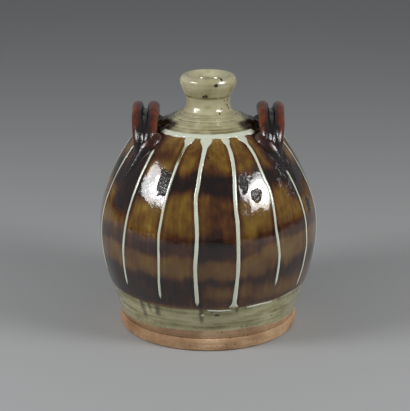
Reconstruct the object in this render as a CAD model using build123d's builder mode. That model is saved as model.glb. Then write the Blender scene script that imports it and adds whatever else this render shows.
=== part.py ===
from build123d import *

import os
from math import atan2, cos, degrees, hypot, radians, sin

# Pilgrim flask of thrown stoneware, 230 mm tall.
#
# A hollow globe stands on a heavy foot ring and carries a short neck with a cupped rim. Two strap
# lugs arch over the shoulder from front to back. Each is a pair of coils with clay smeared into
# the valley between them, and its ends are pressed down the wall as roots. An iron glaze coats
# the belly, and raised trails of white slip run down over it from a broken ring on the shoulder.
#
# The axis is Z, the foot stands on Z = 0, the front faces -Y and the lugs lie over the X axis.
# Sizes are in millimetres and angles in degrees. Azimuths start at the front and grow towards +X.

os.makedirs("parts", exist_ok=True)

# Foot ring, a heavy flange luted under the globe
foot_height = 11.5
foot_rest_radius = 79.1
foot_flange_radius = 80.5
foot_flange_height = 6.0
foot_inner_radius = 65.0
foot_edge_round = 1.2

# Globe, measured on the clay
globe_seat_radius = 78.5
belly_radius = 97.1
belly_height = 93.4
shoulder_radius = 70.2
shoulder_height = 167.8
shoulder_bend = 9.5
wall_thickness = 6.5
floor_thickness = 7.5
floor_corner_radius = 9.0

# Where the wall's arcs meet, as shares of the way out from the seat or the shoulder to the belly,
# and of the height from the seat to the belly or from the belly to the shoulder
lower_joint_shares = (0.545, 0.377)
upper_joint_shares = (0.788, 0.443)

# Throwing rolls on the shoulder: the grooves between them, as shares of the way in from the white
# ring to the neck, and how far a roll swells, as a share of its width
roll_groove_shares = (0.0, 0.233, 0.683, 1.0)
roll_swell_share = 0.09

# Neck and cupped rim, with heights above the seat where the neck is luted on
neck_seat_radius = 25.0
neck_seat_height = 195.6
bore_radius = 12.2
waist_radius = 19.2
waist_rise = 10.4
cup_foot_radius = 20.4
cup_foot_rise = 16.4
cup_ledge = 0.6
cup_radius = 25.0
cup_rise = 28.3
crest_radius = 19.8
crest_rise = 34.4
crest_round = 1.6
throat_rise = 29.4
throat_round = 2.0

# Iron glaze coat
glaze_thickness = 0.8
glaze_line_height = 42.0

# Lugs: a pair of coils side by side, bent to one arch whose axis lies along X
lug_offset = 55.3
coil_pitch = 13.6
coil_diameter = 9.3
arch_radius = 42.8
arch_axis_height = 157.8
arch_half_angle = 102.0

# Clay smeared into the valley between the coils
valley_crown_drop = 4.4
valley_haunch_drop = 0.6
valley_underside_lift = 2.0

# Roots, the ends of the coils pressed on the wall: round at the top and drawn out to a tail. The
# run above and below is from the widest place, and the drop puts that place under the landing.
root_width = 25.0
root_rise = 6.6
root_drop = 2.0
root_above = 12.0
root_below = 22.0
root_top_share = 0.5

# White slip: the broken ring on the shoulder, the trails down the wall, and the two scraps that
# lie level under the lower edge of the iron glaze
ring_inner_radius = 43.0
ring_outer_radius = 50.0
ring_rise = 1.7
ring_azimuths = {"front": (-64.0, 60.0), "rear": (118.0, 243.0)}
trail_width = 3.0
trail_rise = 0.9
trail_flare_share = 1.3
trail_flare_end_share = 0.85
trail_flare_run = 8.0
trail_drip_share = 1.12
scrap_width = 2.4
scrap_rise = 0.8
scrap_azimuths = {"front": (-0.5, 13.5), "right": (21.6, 38.7)}

# Each trail's azimuth, its head and foot as shares of the height from the glaze line to the
# white ring, and its weight as a share of the trail width. A head of 1 grows out of the ring.
trail_shares = (
    (-73.0, 0.89, 0.12, 0.9),
    (-47.0, 0.84, 0.09, 1.0),
    (-24.5, 1.0, 0.06, 1.0),
    (-5.2, 1.0, 0.05, 1.1),
    (15.2, 1.0, 0.025, 1.1),
    (37.0, 1.0, 0.12, 1.0),
    (60.5, 0.79, 0.05, 0.9),
    (83.0, 0.89, 0.09, 0.9),
    (104.0, 0.90, 0.06, 1.0),
    (126.0, 0.80, 0.08, 1.0),
    (146.5, 1.0, 0.03, 1.1),
    (169.0, 1.0, 0.10, 0.9),
    (191.0, 1.0, 0.05, 1.0),
    (214.0, 1.0, 0.08, 1.1),
    (235.0, 0.80, 0.04, 1.0),
    (263.0, 0.90, 0.10, 0.9),
)

# How far a cutting shape runs past what it cuts
overrun = 5.0


# Outline of the wall


def outward(direction):
    """The side of a line climbing the wall that faces away from the clay."""
    return Vector(direction.Y, -direction.X)


def arc_joint(end_radius, low, high, shares):
    """Where two arcs meet: a share of the way out to the belly, and of the way up."""
    return Vector(end_radius + shares[0] * (belly_radius - end_radius), low + shares[1] * (high - low))


seat = Vector(globe_seat_radius, foot_height)
belly = Vector(belly_radius, belly_height)
shoulder = Vector(shoulder_radius, shoulder_height)
neck_seat = Vector(neck_seat_radius, neck_seat_height)
lower_joint = arc_joint(globe_seat_radius, foot_height, belly_height, lower_joint_shares)
upper_joint = arc_joint(shoulder_radius, belly_height, shoulder_height, upper_joint_shares)

belly_down = TangentArc(belly, lower_joint, tangent=(0, -1))
joint_down = TangentArc(lower_joint, seat, tangent=belly_down % 1)
belly_up = TangentArc(belly, upper_joint, tangent=(0, 1))
joint_up = TangentArc(upper_joint, shoulder, tangent=belly_up % 1)

# The shoulder bends over to a straight cone, which ends at the neck
bend_corner = shoulder + (joint_up % 1) * shoulder_bend
cone_direction = (neck_seat - bend_corner).normalized()
cone_foot = bend_corner + cone_direction * shoulder_bend
cone_outward = outward(cone_direction)

# Each knot of the wall from the foot up, with the direction in which the wall climbs there
wall_knots = (
    (seat, -(joint_down % 1)),
    (lower_joint, -(belly_down % 1)),
    (belly, Vector(0, 1)),
    (upper_joint, belly_up % 1),
    (shoulder, joint_up % 1),
    (cone_foot, cone_direction),
    (neck_seat, cone_direction),
)


def wall_line(skin):
    """The wall's line moved out by skin: tangent arcs up to the cone, then the straight cone."""
    points = [knot + outward(direction) * skin for knot, direction in wall_knots]
    arcs = [
        TangentArc(low, high, tangent=direction)
        for low, high, (_, direction) in zip(points[:-2], points[1:-1], wall_knots)
    ]
    return arcs + [Line(points[-2], points[-1])]


def share_at_height(edge, height):
    """How far along a climbing edge the height lies, held between its ends."""
    low, high = 0.0, 1.0
    for _ in range(40):
        middle = (low + high) / 2
        if (edge @ middle).Y < height:
            low = middle
        else:
            high = middle
    return (low + high) / 2


def wall_point(height, line):
    """Where a wall line reaches a height, and the direction in which it climbs there."""
    edge = next((edge for edge in line if (edge @ 1).Y > height), line[-1])
    share = share_at_height(edge, height)
    return edge @ share, edge % share


def wall_run(low, high, line):
    """The stretch of a wall line between two heights, as a list of edges."""
    run = []
    for edge in line:
        if (edge @ 1).Y > low and (edge @ 0).Y < high:
            run.append(edge.trim(share_at_height(edge, low), share_at_height(edge, high)))
    return run


def cone_point(radius):
    """The point of the shoulder's cone at a radius."""
    return neck_seat + cone_direction * ((radius - neck_seat_radius) / cone_direction.X)


def meridian(azimuth):
    """The upright plane through the axis at an azimuth: its X runs outwards and its Y up."""
    turn = radians(azimuth)
    return Plane(
        origin=(0, 0, 0), x_dir=(sin(turn), -cos(turn), 0), z_dir=(-cos(turn), -sin(turn), 0)
    )


def bead_radius(width, rise):
    """The radius of a round bead that shows a crown of this width and rise."""
    return (width * width / 4 + rise * rise) / (2 * rise)


def write_step(piece, name):
    """Label a finished piece and write its STEP file."""
    piece.part.label = name
    export_step(piece.part, f"parts/{name}.step")


clay_line = wall_line(0)
glazed_line = wall_line(glaze_thickness)
cavity_line = wall_line(-wall_thickness)


# Cutting shapes: all that lies inside the clay's outer face, inside the glaze's, and the hollow


def core_within(line):
    """The solid inside a wall line, carried on past its foot."""
    foot_end = line[0] @ 0 - (line[0] % 0) * overrun
    crown = line[-1] @ 1
    with BuildPart() as core:
        with BuildSketch(Plane.XZ):
            with BuildLine():
                add(line)
                Polyline(crown, (0, crown.Y), (0, foot_end.Y), foot_end, line[0] @ 0)
            make_face()
        revolve(axis=Axis.Z)
    return core


clay_core = core_within(clay_line)
glazed_core = core_within(glazed_line)

floor_height = foot_height + floor_thickness
ceiling = cavity_line[-1] @ 1
cavity_foot = Line(cavity_line[0] @ 0 - (cavity_line[0] % 0) * overrun, cavity_line[0] @ 0)
cavity_run = wall_run(floor_height, ceiling.Y, [cavity_foot] + cavity_line)

with BuildPart() as hollow:
    with BuildSketch(Plane.XZ):
        with BuildLine():
            add(cavity_run)
            Polyline(
                ceiling,
                (bore_radius, ceiling.Y),
                (bore_radius, neck_seat_height + overrun),
                (0, neck_seat_height + overrun),
                (0, floor_height),
                cavity_run[0] @ 0,
            )
        make_face()
        fillet(vertices().group_by(Axis.Y)[0].sort_by(Axis.X)[-1], floor_corner_radius)
    revolve(axis=Axis.Z)


# Foot ring: it swells to a flange and rolls back to a crease under the globe

with BuildPart() as foot_ring:
    with BuildSketch(Plane.XZ):
        with BuildLine():
            flange = (foot_flange_radius, foot_flange_height)
            TangentArc(flange, (foot_rest_radius, 0), tangent=(0, -1))
            TangentArc(flange, (globe_seat_radius, foot_height), tangent=(0, 1))
            Polyline(
                (globe_seat_radius, foot_height),
                (foot_inner_radius, foot_height),
                (foot_inner_radius, 0),
                (foot_rest_radius, 0),
            )
        make_face()
        fillet(vertices().group_by(Axis.Y)[0], foot_edge_round)
    revolve(axis=Axis.Z)
write_step(foot_ring, "foot_ring")


# Globe: floor, belly and shoulder thrown as one wall, with soft rolls round the foot of the neck

with BuildPart() as globe_wall:
    with BuildSketch(Plane.XZ):
        with BuildLine():
            add(clay_line[:-1])
            Line(cone_foot, cone_point(ring_inner_radius))
            grooves = [
                cone_point(ring_inner_radius + share * (neck_seat_radius - ring_inner_radius))
                for share in roll_groove_shares
            ]
            for start, end in zip(grooves, grooves[1:]):
                swell = cone_outward * (roll_swell_share * (end - start).length)
                ThreePointArc(start, (start + end) * 0.5 + swell, end)
            Polyline(neck_seat, (0, neck_seat_height), (0, foot_height), seat)
        make_face()
    revolve(axis=Axis.Z)
    add(hollow.part, mode=Mode.SUBTRACT)
write_step(globe_wall, "globe_wall")


# Neck and rim: a waisted neck, a small ledge, and a cup that rolls in over a funnelled throat

with BuildPart() as neck_and_rim:
    with BuildSketch(Plane.XZ):
        with BuildLine():
            waist = (waist_radius, neck_seat_height + waist_rise)
            ledge = Vector(cup_foot_radius, neck_seat_height + cup_foot_rise)
            cup_start = ledge + Vector(cup_ledge, cup_ledge)
            cup = (cup_radius, neck_seat_height + cup_rise)
            crest = (crest_radius, neck_seat_height + crest_rise)
            throat = (bore_radius, neck_seat_height + throat_rise)
            TangentArc(waist, neck_seat, tangent=(0, -1))
            TangentArc(waist, ledge, tangent=(0, 1))
            Line(ledge, cup_start)
            TangentArc(cup, cup_start, tangent=(0, -1))
            TangentArc(cup, crest, tangent=(0, 1))
            Polyline(crest, throat, (bore_radius, neck_seat_height), neck_seat)
        make_face()
        fillet(vertices().sort_by_distance(crest)[0], crest_round)
        fillet(vertices().sort_by_distance(throat)[0], throat_round)
    revolve(axis=Axis.Z)
write_step(neck_and_rim, "neck_and_rim")


# White ring: two bowed bands on the shoulder's cone, each a low roll with its outer edge standing
# as high as the glaze coat that it meets

ring_outer_foot = cone_point(ring_outer_radius)
ring_outer_edge = ring_outer_foot + cone_outward * glaze_thickness
ring_inner_edge = cone_point(ring_inner_radius)


def ring_band(first_azimuth, last_azimuth):
    """One band of the broken ring between two azimuths."""
    with BuildPart() as band:
        with BuildSketch(meridian(first_azimuth)):
            with BuildLine():
                crown = (ring_inner_edge + ring_outer_foot) * 0.5 + cone_outward * ring_rise
                ThreePointArc(ring_inner_edge, crown, ring_outer_edge)
                Polyline(ring_outer_edge, ring_outer_foot, ring_inner_edge)
            make_face()
        revolve(axis=Axis.Z, revolution_arc=last_azimuth - first_azimuth)
    return band


ring_bands = [ring_band(*azimuths) for azimuths in ring_azimuths.values()]
for name, band in zip(ring_azimuths, ring_bands):
    write_step(band, f"{name}_shoulder_ring")


# Lugs. Each blank runs on into the wall, and is trimmed to its seat afterwards.


def coil_blank(x):
    """One coil: a round section turned from front to back through an arch that stands at x."""
    lean = radians(arch_half_angle)
    front_end = Plane(
        origin=(x, 0, arch_axis_height), x_dir=(1, 0, 0), z_dir=(0, -cos(lean), -sin(lean))
    )
    with BuildPart() as blank:
        with BuildSketch(front_end):
            with Locations((0, arch_radius)):
                Circle(coil_diameter / 2)
        revolve(
            axis=Axis((x, 0, arch_axis_height), (-1, 0, 0)), revolution_arc=2 * arch_half_angle
        )
    return blank


def valley_blank(x):
    """The clay between two coils: a crescent in side view, sunk at the crown and full at the
    haunches, as wide as the coils' centres are apart."""
    top = arch_radius + coil_diameter / 2
    outer = top - valley_haunch_drop
    inner = arch_radius - coil_diameter / 2 + valley_underside_lift
    crown = arch_axis_height + top - valley_crown_drop
    underside = arch_axis_height + inner
    with BuildPart() as blank:
        with BuildSketch(Plane.YZ.offset(x - coil_pitch / 2)):
            with BuildLine():
                ThreePointArc((-outer, arch_axis_height), (0, crown), (outer, arch_axis_height))
                ThreePointArc((-inner, arch_axis_height), (0, underside), (inner, arch_axis_height))
                Line((-outer, arch_axis_height), (-inner, arch_axis_height))
                Line((outer, arch_axis_height), (inner, arch_axis_height))
            make_face()
        extrude(amount=coil_pitch)
    return blank


def landing():
    """Where the middle line of a lug's arch meets the wall: its azimuth and its height."""
    low, high = 0.0, 90.0
    for _ in range(40):
        lean = (low + high) / 2
        height = arch_axis_height + arch_radius * cos(radians(lean))
        depth = arch_radius * sin(radians(lean))
        if hypot(lug_offset, depth) > wall_point(height, clay_line)[0].X:
            low = lean
        else:
            high = lean
    return degrees(atan2(lug_offset, depth)), height


def root_blank(azimuth, landing_height):
    """The pressed end of a lug: a teardrop turned about an axis sunk under the wall, so that only
    a low pad of it stands proud."""
    point, climb = wall_point(landing_height - root_drop, clay_line)
    girth = bead_radius(root_width, root_rise)
    sink = girth - root_rise
    upright = meridian(azimuth)
    along = Plane(
        origin=upright.from_local_coords(point - outward(climb) * sink),
        x_dir=upright.from_local_coords(outward(climb)),
        z_dir=upright.z_dir,
    )
    top = (sink + root_top_share * root_rise, root_above)
    tail = (sink, -root_below)
    with BuildPart() as blank:
        with BuildSketch(along):
            with BuildLine():
                TangentArc((girth, 0), top, tangent=(0, 1))
                TangentArc((girth, 0), tail, tangent=(0, -1))
                Polyline(top, (0, root_above), (0, -root_below), tail)
            make_face()
        revolve(axis=Axis(along.origin, along.y_dir))
    return blank


def write_seated(blank, neighbours, name):
    """Trim a blank to the clay wall and to the pieces that it is smeared against, and write it."""
    with BuildPart() as piece:
        add(blank.part)
        add([clay_core.part] + [neighbour.part for neighbour in neighbours], mode=Mode.SUBTRACT)
    write_step(piece, name)


landing_azimuth, landing_height = landing()
lug_blanks = []
lug_roots = []
for side, turn in (("left", -1), ("right", 1)):
    inner_coil = coil_blank(turn * (lug_offset - coil_pitch / 2))
    outer_coil = coil_blank(turn * (lug_offset + coil_pitch / 2))
    valley = valley_blank(turn * lug_offset)
    front_root = root_blank(turn * landing_azimuth, landing_height)
    rear_root = root_blank(turn * (180 - landing_azimuth), landing_height)
    arch = [inner_coil, outer_coil, valley]
    write_seated(inner_coil, [], f"{side}_inner_coil")
    write_seated(outer_coil, [], f"{side}_outer_coil")
    write_seated(valley, [inner_coil, outer_coil], f"{side}_coil_valley")
    write_seated(front_root, arch, f"{side}_front_root")
    write_seated(rear_root, arch, f"{side}_rear_root")
    lug_roots += [front_root, rear_root]
    lug_blanks += arch + [front_root, rear_root]


# Iron glaze: a thin coat on the clay from the glaze line up to the white ring, parted round the
# feet of the lugs

coat_back = wall_run(glaze_line_height, ring_outer_foot.Y, clay_line)
coat_face = wall_run(glaze_line_height, ring_outer_edge.Y, glazed_line)

with BuildPart() as iron_glaze_coat:
    with BuildSketch(Plane.XZ):
        with BuildLine():
            add(coat_back + coat_face)
            Line(coat_back[0] @ 0, coat_face[0] @ 0)
            Line(coat_back[-1] @ 1, coat_face[-1] @ 1)
        make_face()
    revolve(axis=Axis.Z)
    for blank in lug_blanks:
        add(blank.part, mode=Mode.SUBTRACT)
write_step(iron_glaze_coat, "iron_glaze_coat")


# Slip: round beads sunk in what they lie on, so that only their crowns show


def trail(azimuth, head_share, foot_share, weight_share):
    """A bead of slip down a meridian of the glazed wall, with round ends. One that grows out of
    the white ring is flared below it."""
    bead = bead_radius(trail_width * weight_share, trail_rise)
    span = ring_outer_edge.Y - glaze_line_height
    low = glaze_line_height + foot_share * span
    high = glaze_line_height + head_share * span
    run = wall_run(low, high, wall_line(glaze_thickness + trail_rise - bead))
    upright = meridian(azimuth)
    foot = upright.from_local_coords(run[0] @ 0)
    foot_climb = upright.from_local_coords(run[0] % 0)
    head = upright.from_local_coords(run[-1] @ 1)
    head_climb = upright.from_local_coords(run[-1] % 1)
    from_ring = head_share == 1
    with BuildPart() as line:
        with BuildSketch(Plane(origin=foot, z_dir=foot_climb)):
            Circle(bead)
        sweep(path=upright.from_local_coords(Wire(run)))
        with Locations(foot):
            Sphere(bead * trail_drip_share)
        with Locations(head):
            Sphere(bead * (trail_flare_share if from_ring else trail_drip_share))
        if from_ring:
            with Locations(Plane(origin=head, z_dir=-head_climb)):
                Cone(
                    bead * trail_flare_share,
                    bead * trail_flare_end_share,
                    trail_flare_run,
                    align=(Align.CENTER, Align.CENTER, Align.MIN),
                )
        for cutter in [glazed_core] + (ring_bands if from_ring else lug_roots):
            add(cutter.part, mode=Mode.SUBTRACT)
    return line


for number, shares in enumerate(trail_shares, start=1):
    write_step(trail(*shares), f"slip_trail_{number:02}")


def scrap(first_azimuth, last_azimuth):
    """A level bead on the clay between two azimuths, just under the iron glaze."""
    back = wall_run(glaze_line_height - scrap_width, glaze_line_height, clay_line)
    point, climb = wall_point(glaze_line_height - scrap_width / 2, clay_line)
    with BuildPart() as line:
        with BuildSketch(meridian(first_azimuth)):
            with BuildLine():
                add(back)
                ThreePointArc(back[0] @ 0, point + outward(climb) * scrap_rise, back[-1] @ 1)
            make_face()
        revolve(axis=Axis.Z, revolution_arc=last_azimuth - first_azimuth)
    return line


for name, azimuths in scrap_azimuths.items():
    write_step(scrap(*azimuths), f"{name}_slip_scrap")
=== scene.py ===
from math import radians

import bpy
import numpy as np
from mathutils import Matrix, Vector


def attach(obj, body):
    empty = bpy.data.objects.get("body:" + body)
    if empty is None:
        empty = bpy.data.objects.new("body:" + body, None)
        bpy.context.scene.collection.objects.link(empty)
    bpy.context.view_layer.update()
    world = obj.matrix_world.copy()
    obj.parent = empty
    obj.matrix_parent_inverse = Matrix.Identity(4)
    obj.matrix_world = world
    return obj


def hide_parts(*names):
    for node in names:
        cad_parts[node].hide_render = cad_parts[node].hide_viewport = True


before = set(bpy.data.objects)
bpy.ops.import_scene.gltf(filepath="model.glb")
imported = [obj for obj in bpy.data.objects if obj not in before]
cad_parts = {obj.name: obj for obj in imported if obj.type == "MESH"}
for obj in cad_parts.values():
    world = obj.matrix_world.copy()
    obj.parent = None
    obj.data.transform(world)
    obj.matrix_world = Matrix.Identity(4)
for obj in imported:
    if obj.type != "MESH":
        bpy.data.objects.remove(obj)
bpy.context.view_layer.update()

# Pilgrim flask in glazed stoneware. Every shape is a surface over a grid, worked out as whole
# arrays in millimetres and kept in metres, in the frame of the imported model: Z up the axis, the
# front towards -Y. An azimuth is in degrees from the front towards +X, and a run is a distance
# along the wall's outline from the foot up.

MM = 0.001

# Points round a turned piece and round the iron coat, few enough that no mesh grows heavy
AROUND = 384
COAT_COLUMNS = 552

# Driving sizes, in millimetres. A pair is a radius and a height on the glazed wall.
SEAT = (78.5, 11.5)
BELLY = (97.9, 93.4)
SHOULDER = (70.86, 168.2)
NECK_SEAT = (25.0, 195.6)
SHOULDER_BEND = 9.5
LOWER_JOINT_SHARES = (0.545, 0.377)
UPPER_JOINT_SHARES = (0.788, 0.443)
COAT_DEPTH, CAVITY_DEPTH = 0.8, 7.2
FLOOR_TOP, BORE_RADIUS = 19.0, 12.2
GLAZE_LINE = 42.0
RING_INNER, RING_OUTER = 43.0, 50.0
LUG_OFFSET, COIL_PITCH, COIL_RADIUS = 55.3, 13.6, 4.65
ARCH_RADIUS, ARCH_AXIS = 42.8, 157.8


# Noise and soft steps


def hash_grid(i, j, seed):
    """A repeatable value from 0 to 1 for whole numbers i and j."""
    n = np.sin(i * 127.1 + j * 311.7 + seed * 74.7) * 43758.5453
    return n - np.floor(n)


def noise(u, v, seed=0, wrap=None):
    """Smooth value noise from -1 to 1: hashed corners blended with a cubic fade. wrap is the
    whole number of cells after which u repeats."""
    u, v = np.broadcast_arrays(np.asarray(u, float), np.asarray(v, float))
    i, j = np.floor(u), np.floor(v)
    fu, fv = u - i, v - j
    fu, fv = fu * fu * (3 - 2 * fu), fv * fv * (3 - 2 * fv)
    i1 = i + 1
    if wrap:
        i, i1 = np.mod(i, wrap), np.mod(i1, wrap)
    low = hash_grid(i, j, seed) * (1 - fu) + hash_grid(i1, j, seed) * fu
    high = hash_grid(i, j + 1, seed) * (1 - fu) + hash_grid(i1, j + 1, seed) * fu
    return 2 * (low * (1 - fv) + high * fv) - 1


def smooth(x, low, high):
    """0 at low and before it, 1 at high and beyond, and a cubic fade between. It falls instead
    of rising where low is the greater of the two."""
    t = np.clip((np.asarray(x, float) - low) / (high - low), 0, 1)
    return t * t * (3 - 2 * t)


def bump(x, middle, half_width):
    """A smooth hill of height 1 at the middle, down to 0 at the half width and beyond."""
    t = np.clip(np.abs(np.asarray(x, float) - middle) / half_width, 0, 1)
    return (1 - t * t) ** 2


def rounded(x, reach, least=0.0):
    """A quarter circle's rise from 0 to 1 over a reach, held at the root of least or above."""
    return np.sqrt(np.clip(1 - (1 - np.clip(x / reach, 0, 1)) ** 2, least, 1))


# The wall's outline: four tangent arcs, the shoulder's bend and a straight cone


def tangent_arc(start, direction, end, count):
    """Points along the circle that leaves start in a direction and passes through end."""
    start, end, direction = (np.asarray(a, float) for a in (start, end, direction))
    chord = end - start
    normal = np.array([-direction[1], direction[0]])
    reach = chord @ normal
    if abs(reach) < 1e-9:
        points = start + np.linspace(0, 1, count)[:, None] * chord
        return points, direction
    radius = chord @ chord / (2 * reach)
    turn = 2 * np.arctan2(reach, chord @ direction)
    a = np.linspace(0, turn, count)[:, None]
    points = start + radius * (np.sin(a) * direction + (1 - np.cos(a)) * normal)
    return points, np.cos(turn) * direction + np.sin(turn) * normal


def wall_outline():
    """The outline of the glazed wall from the foot up to the neck, as one climbing polyline."""
    seat, belly, shoulder, neck = (np.array(p) for p in (SEAT, BELLY, SHOULDER, NECK_SEAT))
    lower = seat + (belly - seat) * LOWER_JOINT_SHARES
    upper = np.array([
        shoulder[0] + UPPER_JOINT_SHARES[0] * (belly[0] - shoulder[0]),
        belly[1] + UPPER_JOINT_SHARES[1] * (shoulder[1] - belly[1]),
    ])
    down, lean = tangent_arc(belly, (0, -1), lower, 60)
    foot, _ = tangent_arc(lower, lean, seat, 40)
    up, lean = tangent_arc(belly, (0, 1), upper, 60)
    high, lean = tangent_arc(upper, lean, shoulder, 60)
    corner = shoulder + lean * SHOULDER_BEND
    cone = (neck - corner) / np.linalg.norm(neck - corner)
    bend, _ = tangent_arc(shoulder, lean, corner + cone * SHOULDER_BEND, 30)
    return np.vstack([foot[::-1], down[::-1][1:], up[1:], high[1:], bend[1:], neck[None, :]])


WALL = wall_outline()
WALL_RUN = np.concatenate([[0], np.cumsum(np.hypot(*np.diff(WALL, axis=0).T))])
CONE = (WALL[-1] - WALL[-2]) / np.linalg.norm(WALL[-1] - WALL[-2])
CONE_OUT = np.array([CONE[1], -CONE[0]])

# The outline again from the neck outwards, over the cone and the shoulder
FROM_NECK = WALL[::-1][:90]


def wall_radius(z):
    """The glazed wall's radius at a height."""
    return np.interp(z, WALL[:, 1], WALL[:, 0])


def wall_run_at(z):
    """How far along the outline a height lies."""
    return np.interp(z, WALL[:, 1], WALL_RUN)


def cone_run_at(r):
    """How far along the outline the cone or the shoulder has a radius."""
    return wall_run_at(np.interp(r, FROM_NECK[:, 0], FROM_NECK[:, 1]))


def point_at(run):
    """The radius and the height at a run along the outline."""
    return np.interp(run, WALL_RUN, WALL[:, 0]), np.interp(run, WALL_RUN, WALL[:, 1])


def wall_at(run):
    """The point at a run along the outline, and the outward normal there."""
    step = 0.6
    r, z = point_at(run)
    (r_after, z_after), (r_before, z_before) = point_at(run + step), point_at(run - step)
    dr, dz = r_after - r_before, z_after - z_before
    length = np.hypot(dr, dz)
    return r, z, dz / length, -dr / length


def around(r, azimuth, z):
    """Points at a radius, an azimuth in degrees and a height, in metres."""
    a = np.radians(azimuth)
    return np.stack(np.broadcast_arrays(r * np.sin(a), -r * np.cos(a), z), axis=-1) * MM


def swing(azimuth):
    """An azimuth turned to lie from -180 to 180."""
    return np.mod(np.asarray(azimuth, float) + 180, 360) - 180


# Meshes from grids


def signed_volume(vertices, faces):
    """The volume that the faces enclose: positive when they point outwards."""
    total = 0.0
    for size in (3, 4):
        picked = np.array([f for f in faces if len(f) == size])
        if len(picked):
            a = vertices[picked[:, 0]]
            for k in range(1, size - 1):
                b, c = vertices[picked[:, k]], vertices[picked[:, k + 1]]
                total += np.einsum("ij,ij->", a, np.cross(b, c)) / 6
    return total


def grid_mesh(name, points, close_u=False, close_v=False, caps=()):
    """A mesh over a grid of points, with u down the rows and v across. A closed direction joins
    its last row to its first. caps closes the end rows of u with a fan, low and high."""
    rows, columns = points.shape[:2]
    index = np.arange(rows * columns).reshape(rows, columns)
    if close_u:
        index = np.vstack([index, index[:1]])
    if close_v:
        index = np.hstack([index, index[:, :1]])
    quads = np.stack([index[:-1, :-1], index[:-1, 1:], index[1:, 1:], index[1:, :-1]], -1)
    faces = quads.reshape(-1, 4).tolist()
    vertices = points.reshape(-1, 3)
    for end in caps:
        ring = index[0 if end == "low" else -1, :-1]
        hub = len(vertices)
        vertices = np.vstack([vertices, vertices[ring].mean(0)])
        order = np.stack([np.full(len(ring), hub), np.roll(ring, -1), ring], -1)
        faces += (order if end == "low" else order[:, ::-1]).tolist()
    mesh = bpy.data.meshes.new(name)
    mesh.from_pydata(vertices.tolist(), [], faces)
    mesh.update()
    if signed_volume(vertices, faces) < 0:
        mesh.flip_normals()
    mesh.shade_smooth()
    return mesh


def coordinates(mesh):
    """Each vertex's x, y and z in millimetres."""
    points = np.empty(len(mesh.vertices) * 3)
    mesh.vertices.foreach_get("co", points)
    return points.reshape(-1, 3).T / MM


def place(mesh):
    """Each vertex's azimuth in degrees, and its radius and height in millimetres."""
    x, y, z = coordinates(mesh)
    return np.degrees(np.arctan2(x, -y)), np.hypot(x, y), z


def paint(mesh, **values):
    """Keep a value for each vertex under each name."""
    for name, value in values.items():
        layer = mesh.attributes.new(name, "FLOAT", "POINT")
        value = np.broadcast_to(np.clip(value, 0, 1), len(mesh.vertices))
        layer.data.foreach_set("value", np.ascontiguousarray(value, dtype=np.float32))


def add_piece(name, mesh, replaced, slot):
    """Put a finished mesh in the scene, riding on the flask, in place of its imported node."""
    piece = bpy.data.objects.new(name, mesh)
    bpy.context.scene.collection.objects.link(piece)
    mesh.materials.append(FINISHES[slot])
    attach(piece, "root")
    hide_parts(replaced)


# Where the slip trails run. Each is a list of heights from the top down, and the azimuth there.

TRAIL_PATHS = (
    ((178, 165, 140, 110, 80, 54), (-70.5, -71.5, -73.2, -74.6, -75.4, -74.8)),
    ((174, 163, 143, 112, 88, 55), (-44.6, -45.2, -46.6, -47.4, -48.6, -48.9)),
    ((183, 178, 167, 146, 112, 90, 50), (-18.0, -19.0, -21.5, -24.0, -25.6, -25.4, -26.6)),
    ((183, 178, 160, 141, 112, 80, 46), (-1.4, -3.0, -5.6, -7.0, -5.6, -6.6, -6.0)),
    ((183, 178, 165, 143, 112, 88, 42.8), (16.4, 17.0, 17.0, 15.2, 15.0, 15.2, 14.0)),
    ((183, 178, 160, 142, 112, 88, 59), (34.0, 34.6, 35.8, 38.0, 36.8, 38.6, 38.0)),
    ((166, 150, 130, 108, 85, 49), (57.5, 58.8, 60.8, 61.6, 61.8, 58.4)),
    ((178, 160, 130, 105, 80, 52), (76.5, 78.6, 81.0, 82.6, 83.4, 83.6)),
    ((178, 150, 115, 82, 50), (103.0, 104.6, 103.6, 105.0, 104.0)),
    ((166, 140, 112, 84, 52), (125.0, 126.6, 125.6, 126.8, 126.2)),
    ((183, 160, 128, 94, 45), (147.5, 146.0, 147.2, 145.8, 146.6)),
    ((183, 158, 130, 96, 56), (168.0, 169.4, 168.4, 170.0, 169.0)),
    ((183, 158, 126, 90, 48), (192.0, 190.4, 191.6, 190.6, 191.4)),
    ((183, 162, 128, 92, 54), (213.0, 214.8, 213.4, 214.6, 213.8)),
    ((166, 140, 108, 80, 47), (236.0, 234.6, 235.6, 234.4, 235.4)),
    ((178, 150, 118, 86, 55), (262.0, 263.6, 262.6, 264.0, 263.0)),
)
TRAIL_WIDTHS = (2.2, 2.6, 2.3, 3.4, 3.4, 2.7, 2.2, 2.0, 2.6, 2.3, 3.0, 2.5, 2.9, 2.6, 2.3, 2.2)
RING_TRAIL_TOP = 180

# Trails told apart by their place in the list: those that spread at the foot, the one worn thin
# near its head, and those poured thin all the way
SPREAD_TRAILS, WORN_TRAIL, THIN_TRAILS = (4, 10), 2, (0, 7, 8, 15)


def trail_azimuth(number, z):
    """A trail's azimuth at a height: a smooth line through its stations, with a small sway."""
    heights, azimuths = TRAIL_PATHS[number]
    fine = np.linspace(heights[-1], heights[0], 160)
    line = np.interp(fine, heights[::-1], azimuths[::-1])
    window = np.hanning(19) / np.hanning(19).sum()
    soft = np.convolve(np.pad(line, 9, mode="edge"), window, "valid")
    return np.interp(z, fine, soft) + 0.22 * noise(np.asarray(z, float) / 11, 0.5, 31 + number)


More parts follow.
